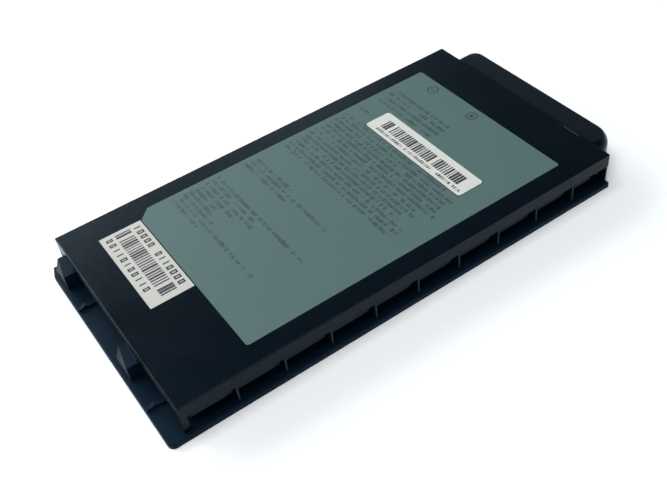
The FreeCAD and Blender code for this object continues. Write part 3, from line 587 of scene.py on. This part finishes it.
def marks_tree():
    tree = bpy.data.node_groups.new("row_of_marks", "GeometryNodeTree")
    face = tree.interface
    face.new_socket("Rows", in_out="INPUT", socket_type="NodeSocketGeometry")
    for name, size in ROW_SIZES.items():
        face.new_socket(name, in_out="INPUT", socket_type="NodeSocketFloat").default_value = size
    face.new_socket("Seed", in_out="INPUT", socket_type="NodeSocketInt")
    face.new_socket("Ink", in_out="INPUT", socket_type="NodeSocketMaterial")
    face.new_socket("Marks", in_out="OUTPUT", socket_type="NodeSocketGeometry")
    given = {socket.name: Field(tree, socket) for socket in tree.nodes.new("NodeGroupInput").outputs}
    start = given["Rows"]

    def share(low, high, draw):
        inputs = {RANDOM_LOW: low, RANDOM_HIGH: high, RANDOM_SEED: given["Seed"] + draw}
        return start.node("FunctionNodeRandomValue", {"data_type": "FLOAT"}, inputs, output=RANDOM_NUMBER)

    def chance(probability, draw):
        inputs = {RANDOM_CHANCE: probability, RANDOM_SEED: given["Seed"] + draw}
        return start.node("FunctionNodeRandomValue", {"data_type": "BOOLEAN"}, inputs, output=RANDOM_CHOICE)

    curves = start.node("GeometryNodeMeshToCurve", None, {"Mesh": given["Rows"]})
    steps = start.node("GeometryNodeResampleCurve", {"mode": "LENGTH"},
                       {"Curve": curves, "Length": given["Pitch"]})
    along = start.node("GeometryNodeInputTangent")
    turn = start.node("FunctionNodeAlignRotationToVector", {"axis": "X"}, {"Vector": along})
    kind = chance(given["Open share"], OPEN_DRAW) * (1 + chance(given["Narrow share"], NARROW_DRAW))
    kept = chance(1 - given["Gap share"], KEPT_DRAW)
    size = start.node("ShaderNodeCombineXYZ", None, {
        "X": given["Pitch"] * share(given["Narrowest"], given["Widest"], WIDTH_DRAW),
        "Y": given["Height"] * share(given["Lowest"], 1.0, HEIGHT_DRAW),
        "Z": given["Thickness"],
    })
    placed = start.node("GeometryNodeInstanceOnPoints", None, {
        "Points": steps, "Selection": kept, "Rotation": turn, "Scale": size,
        "Instance": kinds_of_mark(start), "Pick Instance": True, "Instance Index": kind,
    })
    real = start.node("GeometryNodeRealizeInstances", None, {"Geometry": placed})
    inked = start.node("GeometryNodeSetMaterial", None, {"Geometry": real, "Material": given["Ink"]})
    end = tree.nodes.new("NodeGroupOutput")
    tree.links.new(inked.socket, end.inputs["Marks"])
    return tree


row_of_marks = marks_tree()
identifiers = {item.name: item.identifier for item in row_of_marks.interface.items_tree}
print("tree with inputs", ", ".join(ROW_SIZES))

# %% [markdown]
# ## Ink
#
# Ink on film lies thin and a little uneven, so the colour below shows through in places. On the label it is
# a dark grey green, on the stickers nearly black. It could be made partly clear, but a noise that fades
# between two tones looks the same at this size and is simpler.

# %% Mix the inks
INK_CLOUD = 0.4 * MM
INK_DEPTH = 0.002 * MM


def ink(name, dark, pale):
    material, shader, place = new_finish(name)
    cover = noise(place, INK_CLOUD, detail=3.0)
    dress(
        shader,
        Base_Color=blend(cover, dark, pale),
        Roughness=0.45 + 0.15 * (cover - 0.5),
        Normal=grain(cover, INK_DEPTH),
    )
    return material


label_ink = ink("label_ink", rgb(0.013, 0.025, 0.028), rgb(0.028, 0.048, 0.051))
sticker_ink = ink("sticker_ink", rgb(0.006, 0.006, 0.007), rgb(0.022, 0.022, 0.023))
print("inks: label_ink, sticker_ink")

# %% [markdown]
# ## Lines on the label
#
# The lines of print run across the pack, from its back edge to its front edge, and stack from the far end
# to the near end. So a place on the label is given as a reader would: how far up the label a line stands,
# where it starts and how long it is. Each line is one edge of a mesh, and the tree turns it into marks. The
# label has four fields of lines and one short line by itself.

# %% Print rows of marks
FACES_OF_A_BAR = 6


def print_rows(name, rows, material, seed, slot, **sizes):
    """Print marks along rows, each a start and an end point on a surface."""
    mesh = bpy.data.meshes.new(name)
    points = [point for row in rows for point in row]
    mesh.from_pydata(points, [(number, number + 1) for number in range(0, len(points), 2)], [])
    piece = add_piece(name, mesh)
    modifier = piece.modifiers.new("print", "NODES")
    modifier.node_group = row_of_marks
    for key, size in {**ROW_SIZES, **sizes, "Seed": seed, "Ink": material}.items():
        modifier[identifiers[key]] = size
    as_plain_mesh(piece)
    print(name, len(rows), "rows,", len(piece.data.polygons) // FACES_OF_A_BAR, "bars of ink")
    return piece


def on_sheet(node, up, start):
    """A point on a label or sticker: up from its near edge and on from its back edge."""
    low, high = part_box(node)
    return Vector((low.x + up, high.y - start, high.z))


def line_of_print(node, up, start, length):
    return on_sheet(node, up, start), on_sheet(node, up, start + length)


def field_of_print(first, spacing, count, start, shortest, longest, seed):
    """Lines of uneven length, one above the other on the label."""
    draw = random.Random(seed)
    return [
        line_of_print("main_label", first + number * spacing, start, draw.uniform(shortest, longest))
        for number in range(count)
    ]


print("a line is given by a place on a sheet and a length")

# %% Print the label's lines
LINE_SPACING = 2.2 * MM
WIDE_SPACING = 2.6 * MM
MARGIN = 2.6 * MM
WIDE_MARGIN = 3.5 * MM
LOWEST_FIELD = 12.0 * MM
LOWEST_COUNT = 9
LONG_LINES = {1: 47 * MM, LOWEST_COUNT - 1: 52 * MM}

lowest = field_of_print(LOWEST_FIELD, LINE_SPACING, LOWEST_COUNT, MARGIN, 12 * MM, 30 * MM, seed=4)
for number, length in LONG_LINES.items():
    lowest[number] = line_of_print("main_label", LOWEST_FIELD + number * LINE_SPACING, MARGIN, length)
short = field_of_print(40.5 * MM, LINE_SPACING, 3, MARGIN, 18 * MM, 46 * MM, seed=8)
longest = field_of_print(56.5 * MM, LINE_SPACING, 13, MARGIN, 54 * MM, 64 * MM, seed=12)
aside = [line_of_print("main_label", 89.0 * MM, WIDE_MARGIN, 6 * MM)]
highest = field_of_print(97.0 * MM, WIDE_SPACING, 4, WIDE_MARGIN, 24 * MM, 38 * MM, seed=16)
print_rows("label_lines", lowest + short + longest + aside + highest, label_ink, 20, "label_film")

# %% [markdown]
# ## Marks on the stickers
#
# Each sticker has a bar code and lines of darker marks, large and open on one sticker and small on the
# other. The same tree prints them all: for a bar code the marks keep their full height, and differ more in
# width.

# %% Print the stickers
BAR_CODE = {
    "Pitch": 1.15 * MM, "Lowest": 1.0, "Narrowest": 0.3, "Widest": 0.95,
    "Gap share": 0.08, "Open share": 0.0,
}
LARGE_MARKS = {
    "Pitch": 2.5 * MM, "Height": 2.4 * MM, "Lowest": 0.95, "Narrowest": 0.56, "Widest": 0.66,
    "Gap share": 0.04, "Open share": 1.0, "Narrow share": 0.3,
}
SMALL_MARKS = {"Pitch": 0.95 * MM, "Height": 1.3 * MM, "Gap share": 0.04}

print_rows("part_sticker_lines", [
    line_of_print("part_sticker", up=11.4 * MM, start=2.6 * MM, length=31 * MM),
    line_of_print("part_sticker", up=1.5 * MM, start=2.6 * MM, length=27 * MM),
], sticker_ink, 31, "sticker_paper", **LARGE_MARKS)
print_rows("part_sticker_code", [
    line_of_print("part_sticker", up=4.9 * MM, start=1.8 * MM, length=33 * MM),
], sticker_ink, 32, "sticker_paper", Height=5.4 * MM, **BAR_CODE)
print_rows("serial_sticker_lines", [
    line_of_print("serial_sticker", up=1.2 * MM, start=4.8 * MM, length=29 * MM),
    line_of_print("serial_sticker", up=1.2 * MM, start=37.5 * MM, length=11 * MM),
], sticker_ink, 33, "sticker_paper", **SMALL_MARKS)
print_rows("serial_sticker_code", [
    line_of_print("serial_sticker", up=3.2 * MM, start=4.8 * MM, length=40.5 * MM),
], sticker_ink, 34, "sticker_paper", Height=4.6 * MM, **BAR_CODE)

# %% [markdown]
# ## Signs for the two poles
#
# Near the far end the label shows which pole is which: a plus and a minus, each in a ring. A ring could be
# a bent tube, but ink is flat, so the ring is a disc with a hole, raised by the thickness of the ink.

# %% Print the plus and the minus
RING_RADIUS = 2.2 * MM
RING_WIDTH = 0.52 * MM
RING_STEPS = 48
SIGN_LENGTH = 2.3 * MM
SIGNS_UP = 115.6 * MM


def flat_field(shape, centre, length, width):
    """Add a rectangle to a shape, with its length from near to far."""
    corners = [(-1, -1), (1, -1), (1, 1), (-1, 1)]
    shape.faces.new([
        shape.verts.new(centre + Vector((x * length / 2, y * width / 2, 0))) for x, y in corners
    ])


def raised_ink(name, shape, material):
    """Give flat shapes the thickness of ink, and make them a piece on the label."""
    raised = bmesh.ops.extrude_face_region(shape, geom=shape.faces[:])["geom"]
    tops = [item for item in raised if isinstance(item, bmesh.types.BMVert)]
    bmesh.ops.translate(shape, vec=(0, 0, ROW_SIZES["Thickness"]), verts=tops)
    bmesh.ops.recalc_face_normals(shape, faces=shape.faces)
    mesh = bpy.data.meshes.new(name)
    shape.to_mesh(mesh)
    shape.free()
    mesh.materials.append(material)
    return add_piece(name, mesh)


def ring_with_sign(name, centre, bars):
    """A flat ring round a plus or a minus, with each bar of the sign given by its length and width."""
    shape = bmesh.new()
    inner, outer = [], []
    for step in range(RING_STEPS):
        angle = math.tau * step / RING_STEPS
        ray = Vector((math.cos(angle), math.sin(angle), 0))
        inner.append(shape.verts.new(centre + ray * (RING_RADIUS - RING_WIDTH)))
        outer.append(shape.verts.new(centre + ray * RING_RADIUS))
    for step in range(RING_STEPS):
        after = (step + 1) % RING_STEPS
        shape.faces.new((inner[step], outer[step], outer[after], inner[after]))
    for length, width in bars:
        flat_field(shape, centre, length, width)
    return raised_ink(name, shape, label_ink)


across = (RING_WIDTH, SIGN_LENGTH)
along = (SIGN_LENGTH, RING_WIDTH)
for name, start, bars in (("minus_sign", 12.0 * MM, [across]), ("plus_sign", 33.3 * MM, [across, along])):
    centre = on_sheet("main_label", SIGNS_UP, start)
    ring_with_sign(name, centre, bars)
    print(name, "at", [round(value / MM, 1) for value in centre], "mm")

# %% [markdown]
# ## The black field under the long sticker
#
# A black sheet lies under the long sticker, a little longer than it towards the near end and a little wider
# on both sides. The sticker has round corners, so the sheet shows as a thin dark line along one side and as
# a dark tip at the corners.

# %% Lay the black sheet under the sticker
FIELD_MARGIN = 0.35 * MM

sticker_low, sticker_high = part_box("serial_sticker")
middle = (sticker_low + sticker_high) / 2
backing = bmesh.new()
flat_field(
    backing, Vector((middle.x - FIELD_MARGIN / 2, middle.y, sticker_low.z)),
    sticker_high.x - sticker_low.x + FIELD_MARGIN, sticker_high.y - sticker_low.y + FIELD_MARGIN,
)
raised_ink("serial_backing", backing, sticker_ink)
print("black field", [round(size / MM, 1) for size in (sticker_high - sticker_low).xy], "mm")

# %% [markdown]
# ## Floor and light
#
# The picture is a plain catalogue shot: a white table and soft light from all round. Black plastic shows
# mostly what it mirrors, so the lights matter more than its colour. A softbox overhead lights the label,
# and a wide one behind on the left draws the pale sheen over the near back corner. A dim panel in the
# middle of the back carries that sheen on towards the nose, a weak fill in front keeps the ribs readable,
# and the white floor lights the sides. All round, the world fades from a bright horizon to a dark zenith,
# so the cover's flat top stays black.

# %% Lay the floor
FLOOR_SIZE = 6.0
FLOOR_CLOUD = 200 * MM


def pale_floor(name):
    material, shader, place = new_finish(name)
    cloud = noise(place, FLOOR_CLOUD)
    dress(
        shader,
        Base_Color=blend(cloud, rgb(0.90, 0.90, 0.90), rgb(0.93, 0.93, 0.93)),
        Roughness=0.8,
        Specular_IOR_Level=0.1,
    )
    return material


half = FLOOR_SIZE / 2
corners = [(-half, -half, 0), (half, -half, 0), (half, half, 0), (-half, half, 0)]
floor_mesh = bpy.data.meshes.new("floor")
floor_mesh.from_pydata(corners, [], [(0, 1, 2, 3)])
floor_mesh.materials.append(pale_floor("pale_floor"))
floor = bpy.data.objects.new("floor", floor_mesh)
bpy.context.collection.objects.link(floor)
print("floor", FLOOR_SIZE, "m across")

# %% Hang the lights
WHITE = (1.0, 1.0, 1.0)
COOL = (0.84, 0.94, 1.0)
SKY_BLUE = (0.72, 0.90, 1.0)


def softbox(name, place, width, height, watts, colour):
    """A rectangular light that faces the pack."""
    data = bpy.data.lights.new(name, "AREA")
    data.shape = "RECTANGLE"
    data.size, data.size_y = width, height
    data.energy = watts
    data.color = colour
    light = bpy.data.objects.new(name, data)
    light.location = place
    light.rotation_mode = "QUATERNION"
    light.rotation_quaternion = (-Vector(place)).to_track_quat("-Z", "Y")
    bpy.context.collection.objects.link(light)
    return light


for light in (
    softbox("overhead", (-0.20, 0.00, 1.10), width=0.90, height=0.90, watts=11.5, colour=WHITE),
    softbox("back_left", (-0.42, 1.00, 0.54), width=1.30, height=0.50, watts=13.0, colour=COOL),
    softbox("back_middle", (0.40, 1.00, 0.52), width=0.45, height=0.50, watts=1.4, colour=COOL),
    softbox("front_fill", (0.40, -1.25, 0.50), width=0.90, height=0.60, watts=2.4, colour=SKY_BLUE),
):
    print(light.name, round(light.data.energy, 1), "W")

# %% Light the world
SKY_STOPS = [
    (0.00, rgb(0.90, 0.95, 1.00)),
    (0.30, rgb(0.52, 0.60, 0.66)),
    (0.60, rgb(0.07, 0.09, 0.11)),
    (0.80, rgb(0.04, 0.05, 0.06)),
]
world = bpy.data.worlds.new("studio")
world.use_nodes = True
sky = Field(world.node_tree)
direction = sky.node("ShaderNodeTexCoord", output="Generated")
height = sky.node("ShaderNodeSeparateXYZ", None, {"Vector": direction}, output="Z")
glow = sky.node("ShaderNodeValToRGB", {"stops": SKY_STOPS}, {"Fac": height})
sky.fill(world.node_tree.nodes["Background"].inputs["Color"], glow)
bpy.context.scene.world = world
bpy.context.scene.view_settings.view_transform = "Standard"
print("world with", len(SKY_STOPS), "tones from the horizon up")

# %% [markdown]
